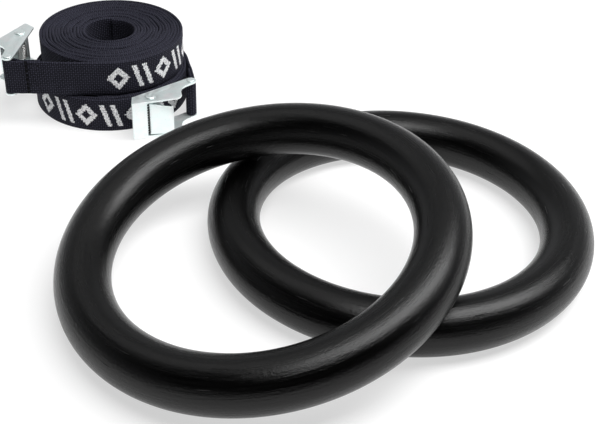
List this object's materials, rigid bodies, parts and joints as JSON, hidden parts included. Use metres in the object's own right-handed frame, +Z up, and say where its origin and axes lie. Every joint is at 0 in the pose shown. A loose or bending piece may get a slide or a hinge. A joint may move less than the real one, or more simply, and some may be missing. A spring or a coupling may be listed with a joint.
{
  "type": "gymnastics rings",
  "caption": "Black wooden gymnastics rings, one leaning on the other, beside rolled webbing straps with cam buckles.",
  "frame": {"origin": "on the floor, at the middle of the footprint of everything that lies on it", "axes": "+Z up, +X to the right from the rolled straps to the right ring, +Y away from the viewer"},
  "size_m": [0.3964, 0.4046, 0.0764],
  "materials": {
    "black_wood": "black stain under a satin lacquer",
    "black_webbing": "ribbed woven polyester webbing",
    "black_thread": "bonded sewing thread",
    "zinc_plate": "bright zinc plated pressed steel",
    "spring_steel": "drawn spring wire"
  },
  "bodies": {
    "right_ring": {"right_ring": "black_wood"},
    "left_ring": {"left_ring": "black_wood"},
    "lower_strap": {"lower_strap": "black_webbing", "lower_stitching": "black_thread"},
    "lower_buckle": {"lower_buckle_frame": "zinc_plate", "lower_strap_bar": "zinc_plate", "lower_axle_pin": "zinc_plate"},
    "lower_cam": {"lower_cam_lever": "zinc_plate", "lower_cam_spring": "spring_steel"},
    "upper_strap": {"upper_strap": "black_webbing", "upper_stitching": "black_thread"},
    "upper_buckle": {"upper_buckle_frame": "zinc_plate", "upper_strap_bar": "zinc_plate", "upper_axle_pin": "zinc_plate"},
    "upper_cam": {"upper_cam_lever": "zinc_plate", "upper_cam_spring": "spring_steel"}
  },
  "joints": [
    {"name": "left_ring_lift", "type": "slide", "parent": "right_ring", "child": "left_ring", "axis": [0, 0, 1], "range_m": [0, 0.3]},
    {"name": "lower_strap_lift", "type": "slide", "parent": "right_ring", "child": "lower_strap", "axis": [0, 0, 1], "range_m": [0, 0.2]},
    {"name": "upper_strap_lift", "type": "slide", "parent": "lower_strap", "child": "upper_strap", "axis": [0, 0, 1], "range_m": [0, 0.2]},
    {"name": "lower_buckle_swing", "type": "hinge", "parent": "lower_strap", "child": "lower_buckle", "pos_m": [-0.06207, 0.11673, 0.01505], "axis": [0, 0, 1], "range_deg": [0, 100]},
    {"name": "lower_cam_press", "type": "hinge", "parent": "lower_buckle", "child": "lower_cam", "pos_m": [-0.08747, 0.09034, 0.01505], "axis": [0, 0, 1], "range_deg": [0, 35], "stiffness_Nm_per_rad": 0.03, "springref_deg": -34.38},
    {"name": "upper_buckle_swing", "type": "hinge", "parent": "upper_strap", "child": "upper_buckle", "pos_m": [-0.18457, 0.09383, 0.04035], "axis": [0, 0, 1], "range_deg": [0, 150]},
    {"name": "upper_cam_press", "type": "hinge", "parent": "upper_buckle", "child": "upper_cam", "pos_m": [-0.18438, 0.13045, 0.04035], "axis": [0, 0, 1], "range_deg": [0, 35], "stiffness_Nm_per_rad": 0.03, "springref_deg": -34.38}
  ]
}
